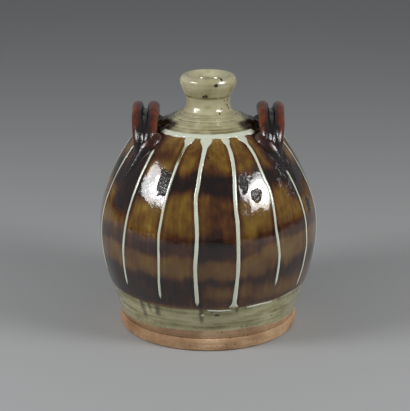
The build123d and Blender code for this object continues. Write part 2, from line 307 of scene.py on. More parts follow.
def trail_distance(azimuth, z):
    """The distance in millimetres from a point of the wall to the nearest trail's middle line,
    large above its head and below its foot."""
    nearest = np.full(np.broadcast(azimuth, z).shape, 99.0)
    for number, (heights, _) in enumerate(TRAIL_PATHS):
        across = np.radians(swing(azimuth - trail_azimuth(number, z))) * wall_radius(z)
        beyond = np.maximum(0, np.maximum(z - heights[0] - 4, heights[-1] - z))
        nearest = np.minimum(nearest, np.hypot(across, beyond))
    return nearest


# Finishes. A finish's broad pattern is worked out for each vertex, and its grain comes from nodes.
# Colours are written from 0 to 255.


def linear(*srgb):
    """A colour of 0 to 255 as linear light."""
    c = np.array(srgb) / 255
    return tuple(np.where(c <= 0.04045, c / 12.92, ((c + 0.055) / 1.055) ** 2.4)) + (1.0,)


def finish(name, ior, coat=0.0, coat_roughness=0.05):
    """A new material, its node tree and its Principled shader."""
    material = bpy.data.materials.new(name)
    material.use_nodes = True
    tree = material.node_tree
    shader = tree.nodes["Principled BSDF"]
    shader.inputs["IOR"].default_value = ior
    shader.inputs["Coat Weight"].default_value = coat
    shader.inputs["Coat Roughness"].default_value = coat_roughness
    shader.inputs["Coat IOR"].default_value = 1.6
    return material, tree, shader


def feed(tree, socket, value):
    """Link a socket to another, or set its value."""
    if isinstance(value, bpy.types.NodeSocket):
        tree.links.new(value, socket)
    else:
        socket.default_value = value


def node(tree, kind, inputs=(), **settings):
    """A shader node with its settings made and its inputs fed by number or name."""
    made = tree.nodes.new("ShaderNode" + kind)
    for key, value in settings.items():
        setattr(made, key, value)
    for key, value in dict(inputs).items():
        feed(tree, made.inputs[key], value)
    return made


def reckon(tree, operation, a, b, clamp=False):
    """One sum of a Math node."""
    made = node(tree, "Math", {0: a, 1: b}, operation=operation, use_clamp=clamp)
    return made.outputs[0]


def times(tree, a, b):
    """One value times another."""
    return reckon(tree, "MULTIPLY", a, b)


def raised(tree, base, amount, value, clamp=False):
    """A base plus an amount of a value."""
    return reckon(tree, "ADD", base, times(tree, value, amount), clamp)


def varied(tree, base, amount, grains, clamp=False):
    """A base plus an amount of a grain, counted from the grain's middle value."""
    return raised(tree, base, amount, reckon(tree, "SUBTRACT", grains, 0.5), clamp)


def blend_colour(tree, share, a, b):
    """Colour a turning to colour b by a share."""
    made = node(tree, "Mix", {0: share, 6: a, 7: b}, data_type="RGBA")
    return made.outputs[2]


def tint(tree, colour, share, *srgb):
    """A colour turned by a share to another, which is written out."""
    return blend_colour(tree, share, colour, linear(*srgb))


def painted(tree, attribute):
    """A value painted on the vertices."""
    return node(tree, "Attribute", attribute_name=attribute).outputs["Fac"]


def grain(tree, scale, detail=3.0, stretch=(1, 1, 1), roughness=0.55):
    """Noise from 0 to 1 in object space, with a scale in cells a metre."""
    where = node(tree, "TexCoord").outputs["Object"]
    where = node(tree, "Mapping", {0: where, 3: stretch}).outputs[0]
    settings = {0: where, "Scale": scale, "Detail": detail, "Roughness": roughness}
    return node(tree, "TexNoise", settings).outputs[0]


def fade(tree, value, low, high):
    """0 at low and before it, and 1 at high and beyond, whichever of the two is greater."""
    made = node(tree, "MapRange", {0: value, 1: low, 2: high, 3: 0.0, 4: 1.0})
    return made.outputs[0]


def ramp(tree, share, *stops):
    """A run of colours along a share from 0 to 1."""
    made = node(tree, "ValToRGB", {0: share})
    band = made.color_ramp
    while len(band.elements) < len(stops):
        band.elements.new(0.5)
    for element, (position, colour) in zip(band.elements, stops):
        element.position = position
        element.color = linear(*colour)
    return made.outputs[0]


def specks(tree, scale, size, share):
    """Round specks, 1 inside: points scattered by Voronoi cells, kept in a share of them."""
    where = node(tree, "TexCoord").outputs["Object"]
    cells = node(tree, "TexVoronoi", {0: where, "Scale": scale})
    near = fade(tree, cells.outputs["Distance"], size, size * 0.55)
    pick = node(tree, "SeparateColor", {0: cells.outputs["Color"]}).outputs[0]
    return times(tree, near, reckon(tree, "LESS_THAN", pick, share))


def bumped(tree, shader, height, distance, over_coat=False):
    """Roughen a surface by a height of 0 to 1 over a distance in metres. The clear coat stays
    even unless over_coat is set."""
    made = node(tree, "Bump", {"Strength": 1.0, "Distance": distance, "Height": height})
    for name in ("Normal", "Coat Normal") if over_coat else ("Normal",):
        tree.links.new(made.outputs[0], shader.inputs[name])


def clay_colour(tree):
    """Sandy fired stoneware: buff to tan, toasted in patches, with dark grains of sand."""
    tan = ramp(
        tree, grain(tree, 42, 4),
        (0.3, (146, 112, 78)), (0.5, (176, 141, 105)), (0.72, (207, 174, 137)),
    )
    sand = fade(tree, grain(tree, 950, 2), 0.36, 0.6)
    tan = tint(tree, tan, times(tree, reckon(tree, "SUBTRACT", 1.0, sand), 0.3), 112, 72, 48)
    return tint(tree, tan, specks(tree, 260, 0.2, 0.2), 62, 40, 28)


def raw_stoneware():
    """Bare clay, matt and sandy."""
    material, tree, shader = finish("raw_stoneware", 1.45)
    feed(tree, shader.inputs["Base Color"], clay_colour(tree))
    shader.inputs["Roughness"].default_value = 0.8
    bumped(tree, shader, grain(tree, 620, 5, roughness=0.7), 0.0005)
    return material


def ash_glaze():
    """Sage to beige glaze, olive where it pools, iron where it is spotted or has run, and bare
    clay below its edge. Reads the painted pool, iron, bare, green and slip."""
    material, tree, shader = finish("ash_glaze", 1.55, coat=0.35, coat_roughness=0.08)
    beige = ramp(
        tree, grain(tree, 34, 5),
        (0.32, (158, 150, 111)), (0.5, (188, 181, 145)), (0.7, (212, 206, 174)),
    )
    sage = ramp(
        tree, grain(tree, 40, 5, (1, 1, 4)),
        (0.3, (134, 130, 90)), (0.5, (166, 162, 124)), (0.7, (194, 188, 152)),
    )
    colour = blend_colour(tree, painted(tree, "green"), beige, sage)
    mottled = times(tree, painted(tree, "pool"), fade(tree, grain(tree, 90, 3), 0.25, 0.6))
    colour = tint(tree, colour, mottled, 98, 92, 50)
    colour = tint(tree, colour, specks(tree, 130, 0.17, 0.11), 58, 38, 18)
    colour = tint(tree, colour, specks(tree, 330, 0.2, 0.09), 92, 70, 38)
    run = varied(tree, painted(tree, "iron"), 0.5, grain(tree, 130, 4))
    colour = tint(tree, colour, fade(tree, run, 0.22, 0.75), 44, 34, 16)
    slip = raised(tree, painted(tree, "slip"), 0.2, grain(tree, 300, 2))
    colour = tint(tree, colour, fade(tree, slip, 0.45, 0.75), 204, 204, 176)
    bare = varied(tree, painted(tree, "bare"), 0.35, grain(tree, 210, 4))
    bare = fade(tree, bare, 0.44, 0.56)
    colour = blend_colour(tree, bare, colour, clay_colour(tree))
    feed(tree, shader.inputs["Base Color"], colour)
    feed(tree, shader.inputs["Roughness"], raised(tree, 0.2, 0.62, bare))
    sand = times(tree, bare, grain(tree, 620, 4))
    bumped(tree, shader, raised(tree, grain(tree, 170, 4), 1.6, sand), 0.00025)
    return material


def iron_glaze():
    """Gloss glaze from near black to amber. Reads the painted tone, muted and matt."""
    material, tree, shader = finish("iron_glaze", 1.5, coat=0.55, coat_roughness=0.05)
    tone = varied(tree, painted(tree, "tone"), 0.5, grain(tree, 11, 4, (22, 22, 1.6)))
    tone = varied(tree, tone, 0.62, grain(tree, 75, 5), clamp=True)
    colour = ramp(
        tree, tone,
        (0.0, (21, 8, 5)), (0.2, (46, 19, 8)), (0.4, (76, 40, 10)),
        (0.6, (100, 68, 16)), (0.82, (128, 96, 30)), (1.0, (158, 132, 66)),
    )
    muted = times(tree, painted(tree, "muted"), fade(tree, grain(tree, 50, 4), 0.25, 0.6))
    colour = tint(tree, colour, muted, 108, 84, 46)
    colour = tint(tree, colour, specks(tree, 75, 0.13, 0.16), 34, 16, 9)
    matt = painted(tree, "matt")
    colour = tint(tree, colour, times(tree, matt, 0.85), 22, 14, 11)
    feed(tree, shader.inputs["Base Color"], colour)
    feed(tree, shader.inputs["Roughness"], raised(tree, 0.1, 0.3, matt))
    ripples = times(tree, grain(tree, 95, 3), 0.35)
    pits = fade(tree, grain(tree, 800, 2, roughness=0.8), 0.38, 0.6)
    height = raised(tree, ripples, 1.8, times(tree, matt, pits))
    bumped(tree, shader, height, 0.0007, over_coat=True)
    return material


def rust_glaze():
    """Thin iron glaze over a ridge: red-brown, orange where it breaks on an edge, black in the
    hollows. Reads the painted ridge."""
    material, tree, shader = finish("rust_glaze", 1.5, coat=0.5, coat_roughness=0.08)
    tone = varied(tree, painted(tree, "ridge"), 0.75, grain(tree, 110, 5, roughness=0.65))
    tone = varied(tree, tone, 0.3, grain(tree, 16, 3, (20, 20, 3)), clamp=True)
    colour = ramp(
        tree, tone,
        (0.0, (14, 9, 9)), (0.26, (34, 15, 10)), (0.46, (74, 28, 12)),
        (0.66, (114, 45, 16)), (0.84, (156, 80, 28)), (1.0, (184, 120, 54)),
    )
    colour = tint(tree, colour, specks(tree, 420, 0.25, 0.1), 30, 20, 22)
    feed(tree, shader.inputs["Base Color"], colour)
    feed(tree, shader.inputs["Roughness"], raised(tree, 0.14, 0.16, grain(tree, 240, 4)))
    bumped(tree, shader, grain(tree, 260, 5, roughness=0.7), 0.0004, over_coat=True)
    return material


def white_slip():
    """Glazed white slip: pale green-white, duller and more olive where it is thin. Reads the
    painted thin."""
    material, tree, shader = finish("white_slip", 1.55, coat=0.7, coat_roughness=0.06)
    thin = varied(tree, painted(tree, "thin"), 0.7, grain(tree, 120, 4), clamp=True)
    colour = ramp(
        tree, thin,
        (0.0, (222, 226, 207)), (0.35, (206, 210, 186)),
        (0.7, (150, 148, 104)), (1.0, (96, 82, 38)),
    )
    feed(tree, shader.inputs["Base Color"], colour)
    feed(tree, shader.inputs["Roughness"], raised(tree, 0.16, 0.1, grain(tree, 200, 3)))
    bumped(tree, shader, grain(tree, 150, 3), 0.0003)
    return material


FINISHES = {
    "raw_stoneware": raw_stoneware(),
    "ash_glaze": ash_glaze(),
    "iron_glaze": iron_glaze(),
    "rust_glaze": rust_glaze(),
    "white_slip": white_slip(),
}


# Turned pieces: an outline of radii and heights carried once round the axis


def spaced(points, step):
    """A polyline's points again at about even steps, with its corners kept."""
    points = np.asarray(points, float)
    out = [points[:1]]
    for a, b in zip(points[:-1], points[1:]):
        count = max(1, int(np.ceil(np.hypot(*(b - a)) / step)))
        out.append(a + (b - a) * np.linspace(0, 1, count + 1)[1:, None])
    return np.vstack(out)


def flowing(points, step):
    """A smooth line through points: each span is a cubic whose slope at a point is half the step
    from the point before it to the point after it."""
    points = np.asarray(points, float)
    before = np.vstack([2 * points[0] - points[1], points[:-1]])
    after = np.vstack([points[1:], 2 * points[-1] - points[-2]])
    slope = (after - before) / 2
    out = [points[:1]]
    for k in range(len(points) - 1):
        a, b = points[k], points[k + 1]
        count = max(2, int(np.ceil(np.hypot(*(b - a)) / step)))
        t = np.linspace(0, 1, count + 1)[1:, None]
        out.append(
            (2 * t**3 - 3 * t**2 + 1) * a + (t**3 - 2 * t**2 + t) * slope[k]
            + (3 * t**2 - 2 * t**3) * b + (t**3 - t**2) * slope[k + 1]
        )
    return np.vstack(out)


def turned(name, outline, shape, closed=True):
    """A mesh of an outline of (radius, height) turned round the axis. shape moves each point out
    along the outline's normal by a distance that depends on the azimuth, radius and height. An
    open outline ends in a small disc at each end."""
    azimuth = np.linspace(0, 360, AROUND, endpoint=False)[None, :]
    ahead, behind = np.roll(outline, -1, 0), np.roll(outline, 1, 0)
    along = ahead - behind
    along /= np.hypot(along[:, 0], along[:, 1])[:, None] + 1e-12
    area = np.sum(outline[:, 0] * ahead[:, 1] - ahead[:, 0] * outline[:, 1])
    out = np.stack([along[:, 1], -along[:, 0]], -1) * np.sign(area)
    r, z = outline[:, 0][:, None], outline[:, 1][:, None]
    move = shape(azimuth, r, z)
    points = around(r + move * out[:, 0][:, None], azimuth, z + move * out[:, 1][:, None])
    if closed:
        return grid_mesh(name, points, close_u=True, close_v=True)
    return grid_mesh(name, points, close_v=True, caps=("low", "high"))


def spot(azimuth, z, middle, height, size, per_degree):
    """A soft spot at an azimuth and a height. per_degree is how many millimetres a degree counts
    for, which makes the spot broader where it is small."""
    return bump(np.hypot(swing(azimuth - middle) * per_degree, z - height), 0, size)


def foot_ring():
    """The foot: a plain ring, its outer edge rounded and a little uneven from the wheel."""
    inside, top, ground = 65.0, SEAT[1], 0.02
    outline = np.vstack([
        flowing([
            (78.4, top), (79.5, 11.1), (80.3, 9.8), (80.55, 7.4), (80.45, 4.4), (80.0, 1.8),
            (79.0, 0.5), (77.6, ground),
        ], 0.5),
        spaced([(77.6, ground), (66.6, ground)], 1.2)[1:],
        flowing([(66.6, ground), (65.5, 0.5), (inside, 1.8)], 0.5)[1:],
        spaced([(inside, 1.8), (inside, top), (78.4, top)], 1.2)[1:-1],
    ])

    def shape(azimuth, r, z):
        free = smooth(z, 0.6, 3) * (1 - smooth(z, 9.5, 11.4)) * smooth(r, 70, 76)
        cuts = 0.22 * noise(azimuth / 7.5, z / 2.1, 41, 48)
        cuts = cuts + 0.12 * noise(azimuth / 1.5, z / 1.2, 42, 240)
        return free * (cuts - 0.28)

    mesh = turned("foot_ring", outline, shape)
    add_piece("foot_ring_clay", mesh, "foot_ring", "raw_stoneware")


# The radii of the grooves that part the thrown rolls on the cone, and of the finer lines
ROLL_EDGES = (25.0, 30.7, 38.8, 43.0)
ROLL_LINES = (27.8, 33.4, 36.0, 41.0)


def rolls(r):
    """The height of the thrown rolls over the cone: one swell between each pair of grooves."""
    height = np.zeros_like(r)
    for line in ROLL_LINES:
        height = height - 0.34 * bump(r, line, 0.75)
    for low, high in zip(ROLL_EDGES[:-1], ROLL_EDGES[1:]):
        t = np.clip((r - low) / (high - low), 0, 1)
        height = height + 0.09 * (high - low) * 4 * t * (1 - t)
    return height


def bare_edge(azimuth):
    """The height to which the clay is bare: about 20 mm in front, lower at the sides."""
    side = swing(azimuth)
    a = np.radians(side)
    return 16.4 + 2.6 * np.cos(a) + 1.4 * np.cos(2 * a) + 0.7 * noise(side / 9, 0.5, 51, 40)


# Iron drips below the glaze line: the azimuth, half the width and the lowest height
DRIPS = (
    (-41.5, 5.0, 21), (-36.0, 2.4, 29), (-30.5, 5.0, 26), (-4.0, 3.0, 23), (2.0, 1.6, 33),
    (9.5, 1.7, 36), (16.5, 2.2, 33), (44.0, 2.0, 35), (110.0, 3.0, 27), (143.0, 2.2, 24),
    (177.0, 2.8, 30), (209.0, 2.2, 26), (251.0, 3.2, 25), (-66.0, 2.4, 33),
)
DRIP_RADIUS = 90

# Iron spots. On the low band each is an azimuth and a height, and on the neck a size as well.
BAND_SPOTS = ((44.0, 33.0), (41.0, 27.5), (42.6, 26.5), (21.0, 22.0), (24.0, 21.5))
NECK_SPOTS = (
    (16, 224.6, 2.9), (-5, 214.3, 3.0), (-11, 214.0, 2.2), (60, 204.0, 2.1), (64, 201.5, 1.7),
    (46, 209, 1.5), (62, 209, 1.4), (36, 202, 1.2), (28, 198.5, 1.4), (-152, 216, 2.2),
    (130, 224, 1.9), (30, 229, 1.8), (-74, 221, 1.5), (196, 203, 1.9),
)
BAND_DEGREE, NECK_DEGREE = 1.5, 0.37


def globe():
    """The thrown wall: outside, the glazed outline less the coat, with rolls on the cone and
    throwing lines on the bare and ash-glazed band. Inside, a plain hollow."""
    run = np.concatenate([np.arange(0, WALL_RUN[-1], 1.35), WALL_RUN[-1:]])
    r, z, nr, nz = wall_at(run)
    coat = COAT_DEPTH * smooth(z, 14, 34) * (1 - smooth(z, 183, 194))
    outer = np.stack([r - coat * nr, z - coat * nz], -1)
    outer[0], outer[-1] = SEAT, NECK_SEAT
    inner = np.stack([r - CAVITY_DEPTH * nr, z - CAVITY_DEPTH * nz], -1)[::3][::-1]
    inner = inner[(inner[:, 0] > 14) & (inner[:, 1] > 26)]
    hub, floor_edge = 1.5, 64.0
    outline = np.vstack([
        spaced([(hub, SEAT[1]), SEAT], 6)[:-1], outer,
        spaced([NECK_SEAT, (BORE_RADIUS, NECK_SEAT[1]), (BORE_RADIUS, 190.4)], 2.5)[1:],
        inner,
        flowing([inner[-1], (75.0, 22.4), (71.0, 19.6), (floor_edge, FLOOR_TOP)], 2.0)[1:],
        spaced([(floor_edge, FLOOR_TOP), (hub, FLOOR_TOP)], 6)[1:],
    ])

    def shape(azimuth, r, z):
        outside = (r > wall_radius(z) - 3) & (z > 11.6)
        low = (1 - smooth(z, 38, 44)) * smooth(z, 12, 14)
        lines = 0.16 * np.sin(z * 2.1 + 0.6 * noise(azimuth / 20, z / 9, 52, 18))
        lines = lines + 0.14 * noise(azimuth / 30, z / 1.7, 53, 12)
        high = smooth(z, 184, 186) * (1 - smooth(z, 194.6, 195.5))
        cone = rolls(r) + 0.09 * noise(azimuth / 24, r / 1.3, 54, 15)
        groove = -0.55 * bump(z, 12.6, 1.2)
        return np.where(outside, low * lines + groove + high * cone, 0)

    mesh = turned("globe", outline, shape, closed=False)
    azimuth, r, z = place(mesh)
    bare = 0.5 - (z - bare_edge(azimuth)) / 5.0
    bare = np.where((r < wall_radius(z) - 3) & (z < 16), 1, bare)

    pool = np.zeros_like(z)
    for edges, depth in ((ROLL_EDGES, 1.0), (ROLL_LINES, 0.75)):
        for edge in edges:
            pool = pool + np.where(z > 180, depth * bump(r, edge, 1.3), 0)
    streaks = smooth(noise(azimuth / 40, z / 1.3, 55, 9), 0.15, 0.7)
    low_pool = 0.75 * streaks + 0.5 * bump(z, 23.5, 3.5) + 0.6 * smooth(z, 37, 42)
    pool = pool + np.where((z > 12) & (z < 44), low_pool, 0)

    from_lug = np.abs(np.abs(swing(azimuth)) - 90)
    iron = np.where(z > 165, smooth(from_lug, 52, 34) * smooth(r, 30, 38), 0)
    iron = iron * (0.75 + 0.35 * noise(azimuth / 8, r / 5, 56, 45))
    for middle, half, low in DRIPS:
        across = np.radians(swing(azimuth - middle)) * DRIP_RADIUS
        across = across + 0.9 * noise(z / 5, 0.5, int(middle) % 97)
        drip = 0.62 * bump(across, 0, half + 1.4) * smooth(z, low, low + 9)
        iron = np.maximum(iron, np.where(z < 48, drip, 0))
    iron = np.maximum(iron, 0.95 * spot(azimuth, z, 5.0, 36.5, 2.2, BAND_DEGREE / 2.2))
    for middle, height in BAND_SPOTS:
        iron = np.maximum(iron, 0.9 * spot(azimuth, z, middle, height, 1.7, BAND_DEGREE))
    slip = spot(azimuth, z, -3.2, 36.5, 2.09, BAND_DEGREE * 1.1 / 1.7)
    paint(mesh, bare=bare, pool=pool, iron=iron, slip=slip, green=1 - smooth(z, 100, 120))
    add_piece("globe_clay", mesh, "globe_wall", "ash_glaze")


def neck_and_rim():
    """The neck: a flared seat, a waist, a cup with a rolled edge, a dished crest and the throat."""
    waist_top, crest, throat = (20.6, 212.0), (19.6, 229.85), (BORE_RADIUS, 223.0)
    outline = np.vstack([
        flowing([
            NECK_SEAT, (22.4, 197.6), (20.2, 201.2), (19.2, 206.0), (19.7, 210.2), waist_top,
        ], 0.7),
        flowing([
            waist_top, (21.6, 214.2), (23.5, 218.2), (24.75, 221.6), (25.0, 224.0),
            (24.6, 226.6), (23.2, 228.8), (21.2, 229.8), crest,
        ], 0.7)[1:],
        flowing([
            crest, (18.0, 229.2), (16.2, 227.6), (14.2, 226.0), (12.9, 224.8), throat,
        ], 0.7)[1:],
        spaced([throat, (BORE_RADIUS, NECK_SEAT[1]), NECK_SEAT], 2.0)[1:-1],
    ])

    def shape(azimuth, r, z):
        free = smooth(z, 196.5, 199) * (1 - smooth(z, 229.2, 229.8)) * smooth(r, 15, 18)
        swell = 0.16 * noise(azimuth / 30, z / 6, 61, 12)
        lines = 0.1 * noise(azimuth / 36, z / 1.4, 62, 10)
        return free * (swell + lines - 0.12)

    mesh = turned("neck", outline, shape)
    azimuth, r, z = place(mesh)
    iron = 0.34 * (1 - smooth(r, 12.4, 14.5)) * smooth(z, 150, 229) + 0.16 * bump(z, 212, 2.4)
    for middle, height, size in NECK_SPOTS:
        iron = np.maximum(iron, spot(azimuth, z, middle, height, size, NECK_DEGREE))
    pool = 0.6 * bump(z, 212.2, 1.6) + 0.5 * bump(z, 197.2, 2.0)
    pool = pool + 0.5 * smooth(noise(azimuth / 30, z / 4, 63, 12), 0.2, 0.9)
    paint(mesh, bare=0, pool=pool, iron=iron, slip=0, green=0.25)
    add_piece("neck_clay", mesh, "neck_and_rim", "ash_glaze")


# Pieces that lie on the glazed wall


def on_wall(azimuth, run, lift):
    """Points of the glazed wall at azimuths and runs, moved out along its normal."""
    r, z, nr, nz = wall_at(run)
    return around(r + lift * nr, azimuth, z + lift * nz)


def pad(name, azimuth, run, lift, sink):
    """A closed solid on the wall: an upper sheet over a grid of azimuths and runs, an under sheet
    sunk into the wall, and a fan across each end."""
    upper = on_wall(azimuth, run, lift)
    under = on_wall(azimuth, run, np.full(lift.shape, -sink))[:, ::-1][:, 1:-1]
    return grid_mesh(name, np.hstack([upper, under]), close_v=True, caps=("low", "high"))


# The iron glaze's tone up the wall, from 0 for near black to 1 for pale amber
TONE_HEIGHTS = (
    40, 42.5, 44.5, 48, 66, 71, 75, 90, 94, 104, 109, 116, 136, 141, 146, 155, 159, 164, 171,
    175, 182,
)
TONE_VALUES = (
    0.85, 0.72, 0.36, 0.12, 0.10, 0.2, 0.48, 0.52, 0.27, 0.30, 0.55, 0.68, 0.72, 0.5, 0.1, 0.06,
    0.42, 0.68, 0.60, 0.66, 0.74,
)

# Crystal blotches: the azimuth, the height, half the width and half the height of each
MATT_SPOTS = (
    (-27.5, 150, 6.5, 9.5), (22, 152, 4.2, 8), (28.5, 141.5, 5.2, 5.0), (-30, 160, 3, 2.4),
    (70, 120, 6, 8), (-95, 138, 7, 9), (115, 148, 5, 8), (160, 128, 6, 7), (205, 152, 6, 9),
    (-140, 100, 5, 6),
)

# Dark runs under the roots: the azimuth, half the width, the lean and the lowest height of each
DARK_RUNS = ((-57, 15, -2, 114), (55, 14, 8, 126), (127, 14, 3, 116), (-126, 14, 3, 122))


def glaze_marks(azimuth, z):
    """The iron glaze's tone, muted share and matt share: level bands pushed about by slow noise,
    near-black runs under the lug roots, a dark line beside each trail, and crystal blotches."""
    side = swing(azimuth)
    push = 4.5 * noise(side / 15, z / 45, 11, 24) + 2.2 * noise(side / 5, z / 26, 12, 72)
    push = push + 1.4 * noise(side / 2, z / 30, 13, 180)
    right = smooth(side, 12, 40) * (1 - smooth(side, 100, 130))
    level = z + push * smooth(z, 46, 52) - 9 * right * bump(z, 95, 40)
    lighter = smooth(side, -9, 2) * (1 - smooth(side, 120, 150))

    tone = np.interp(level, TONE_HEIGHTS, TONE_VALUES) + 0.36 * lighter * bump(level, 56, 14)
    tone = tone + 0.07 * noise(side / 10, z / 10, 14, 36)
    tone = tone + 0.06 * noise(side / 1.5, z / 26, 15, 240)
    tone = tone - 0.3 * bump(side, -33, 16) * bump(z, 171, 7)
    tone = tone - 0.3 * bump(side, 5, 14) * smooth(z, 86, 100) * (1 - smooth(z, 148, 160))
    down = np.clip((176 - z) / 45, 0, 1)
    for middle, half, lean, low in DARK_RUNS:
        across = swing(side - middle - lean * down * np.sign(middle))
        dark = bump(across, 0, half * (1.15 - 0.35 * down)) ** 0.45
        tone = tone * (1 - 0.96 * dark * smooth(z, low, low + 12) * (z < 185))
    near = trail_distance(side, z)
    tone = tone - 0.22 * np.exp(-(((near - 2.6) / 1.5) ** 2))
    tone = tone + 0.1 * smooth(z, 176, 184)

    muted = 0.65 * bump(level, 82, 13) + 0.45 * lighter * bump(level, 57, 12)
    muted = muted + 0.35 * right * bump(z, 92, 14)

    matt = np.zeros_like(z + side)
    ragged = 0.3 * noise(side / 2, z / 3, 16, 180)
    for middle, height, half_width, half_height in MATT_SPOTS:
        radius = np.hypot(swing(side - middle) * 1.55 / half_width, (z - height) / half_height)
        matt = np.maximum(matt, smooth(radius + ragged, 1.1, 0.75))
    scattered = 0.8 * smooth(noise(side / 2, z / 3, 17, 180), 0.0, 0.7)
    scattered = scattered * bump(swing(side - 57), 0, 13) * bump(z, 152, 24)
    return tone, muted, np.maximum(matt, scattered)


def coat_edge(azimuth):
    """The height of the iron glaze's lower edge: wavy, and a little higher at the right."""
    side = swing(azimuth)
    edge = GLAZE_LINE + 0.9 * noise(side / 24, 0.5, 21, 15) + 0.5 * noise(side / 6, 0.5, 22, 60)
    edge = edge + 3.0 * bump(side, 66, 40) + 1.2 * bump(side, 30, 16) - 1.2 * bump(side, -30, 26)
    return edge + 2.0 * bump(side, -78, 22) + 0.8 * bump(side, 160, 50)


def iron_coat():
    """The coat of iron glaze: from a wavy edge low on the belly up to under the white ring, drawn
    up against each trail, a little flat between them, and thin at both edges."""
    azimuth = np.linspace(-180, 180, COAT_COLUMNS, endpoint=False)[None, :]
    low, high = wall_run_at(coat_edge(azimuth)), cone_run_at(47.0)
    t = np.linspace(0, 1, 150)[:, None]
    run = low + (high - low) * t
    _, z = point_at(run)
    near = trail_distance(azimuth, z)
    lift = 0.3 * np.exp(-((near / 2.9) ** 2)) - 0.4 * smooth(near, 2, 12) * bump(t, 0.5, 0.62)
    lift = lift + 0.12 * noise(azimuth / 6, z / 9, 23, 60) * bump(t, 0.5, 0.6)
    into = np.minimum(run - low, high - run)
    lift = lift * smooth(into, 0, 8) - COAT_DEPTH * (1 - rounded(into, 2.2))
    upper = on_wall(azimuth, run, np.minimum(lift, 0.1))
    back = run[::6][::-1]
    under = on_wall(azimuth, back, np.full(back.shape, -1.25))
    mesh = grid_mesh("coat", np.vstack([upper, under]), close_u=True, close_v=True)
    a, _, height = place(mesh)
    tone, muted, matt = glaze_marks(a, height)
    tone = np.maximum(tone, 0.62 * (1 - smooth(height - coat_edge(a), 0.8, 3.0)))
    paint(mesh, tone=tone, muted=muted, matt=matt)
    add_piece("iron_coat", mesh, "iron_glaze_coat", "iron_glaze")


ACROSS = np.linspace(-1, 1, 11)[None, :]
DOME = np.sqrt(1 - ACROSS**2)


def trail(number):
    """A run of slip: a half-round ridge whose middle line sways down the wall, wider at its head
    and in slow swells, and drawn to a round or a pointed end."""
    heights, _ = TRAIL_PATHS[number]
    from_ring, spread = heights[0] > RING_TRAIL_TOP, number in SPREAD_TRAILS
    start, stop = wall_run_at(heights[0]), wall_run_at(heights[-1])
    run = np.linspace(start + (2.5 if from_ring else 0), stop, 150)[:, None]
    _, z = point_at(run)
    gone, left = np.abs(start - run), np.abs(run - stop)

    swell = 1 + 0.14 * noise(run / 9, 0.5, 71 + number) + 0.08 * noise(run / 3, 0.5, 91 + number)
    width = TRAIL_WIDTHS[number] * swell
    if from_ring:
        drop, flare = ((13.0, 6.5), (8.5, 3.5), (10.0, 6.0))[number % 3]
        width = width + flare * (1 - smooth(gone, 1, drop)) ** 1.2
        width = width + 0.5 * (1 - smooth(gone, 4, 40))
    if spread:
        width = width + 6.0 * (1 - smooth(left, 0, 8)) ** 1.3 + 0.6 * (1 - smooth(left, 6, 34))
    tip = np.clip(left / (1.6 if spread else 5.0), 0, 1) ** 0.6
    head = 1 if from_ring else np.clip(gone / 3.0, 0, 1) ** 0.6
    width = np.maximum(width * tip * head, 0.25)

    rise = (0.55 + 0.1 * noise(run / 7, 0.5, 81 + number)) * np.clip(width / 2.4, 0.25, 1.1)
    azimuth = trail_azimuth(number, z) + ACROSS * np.degrees(width / 2 / wall_radius(z))
    lift = np.clip(rise * DOME, 0, 0.72) - 0.06
    name = f"slip_trail_{number + 1:02}"
    mesh = pad(name, azimuth, run, lift, 0.7)

    _, _, height = place(mesh)
    thin = 0.18 + 0.55 * (1 - smooth(height - heights[-1], 0, 5))
    if number == WORN_TRAIL:
        thin = thin + 0.75 * bump(height, 173, 9)
    if number in THIN_TRAILS:
        thin = thin + 0.15
    paint(mesh, thin=thin)
    add_piece(f"trail_{number + 1:02}", mesh, name, "white_slip")


def band_stations(first, last):
    """The azimuths at which a band is worked out, a little over two a degree."""
    return np.linspace(first, last, int(abs(last - first) * 2.2) + 12)


def band(name, replaced, first, last, middle_run, half_width, rise, seed, under_edge):
    """A level band of slip: a ridge along an azimuth range, with uneven edges and round ends."""
    azimuth = band_stations(first, last)[:, None]
    gone = np.minimum(np.abs(azimuth - first), np.abs(azimuth - last))
    reach = rounded(gone, 2.2, 0.004)
    upper = half_width * (1 + 0.1 * noise(azimuth / 3, 0.5, seed)) * reach
    lower = (half_width + under_edge * noise(azimuth / 3.7, 0.5, seed + 1)) * reach
    runs = middle_run + np.where(ACROSS > 0, ACROSS * upper, ACROSS * lower)
    swell = 1 + 0.12 * noise(azimuth / 4, 0.5, seed + 2)
    mesh = pad(name, azimuth, runs, rise * (DOME ** 0.7) * reach * swell - 0.05, 0.9)
    paint(mesh, thin=0.1)
    add_piece(name, mesh, replaced, "white_slip")


def shoulder_rings():
    """The white ring over the shoulder, in front of the lugs and behind them."""
    inner, outer = cone_run_at(RING_INNER), cone_run_at(RING_OUTER)
    middle, half = (inner + outer) / 2 - 0.4, 0.78 * (abs(inner - outer) / 2)
    band("front_ring_slip", "front_shoulder_ring", -58, 57, middle, half, 0.9, 101, 0.9)
    band("rear_ring_slip", "rear_shoulder_ring", 122, 238, middle, half, 0.9, 111, 0.9)


def scraps():
    """Thin lines of slip along the iron glaze's lower edge."""
    for name, first, last, seed in (("front", -0.5, 13.0, 121), ("right", 21.6, 38.7, 131)):
        line = wall_run_at(coat_edge(band_stations(first, last)) - 0.5)[:, None]
        band(f"{name}_scrap_slip", f"{name}_slip_scrap", first, last, line, 0.65, 0.1, seed, 0.3)


# Lugs. Their arch stands over an axis that runs from side to side, and a lean is counted in
# degrees from the arch's top.

SIDES = {-1: "left", 1: "right"}

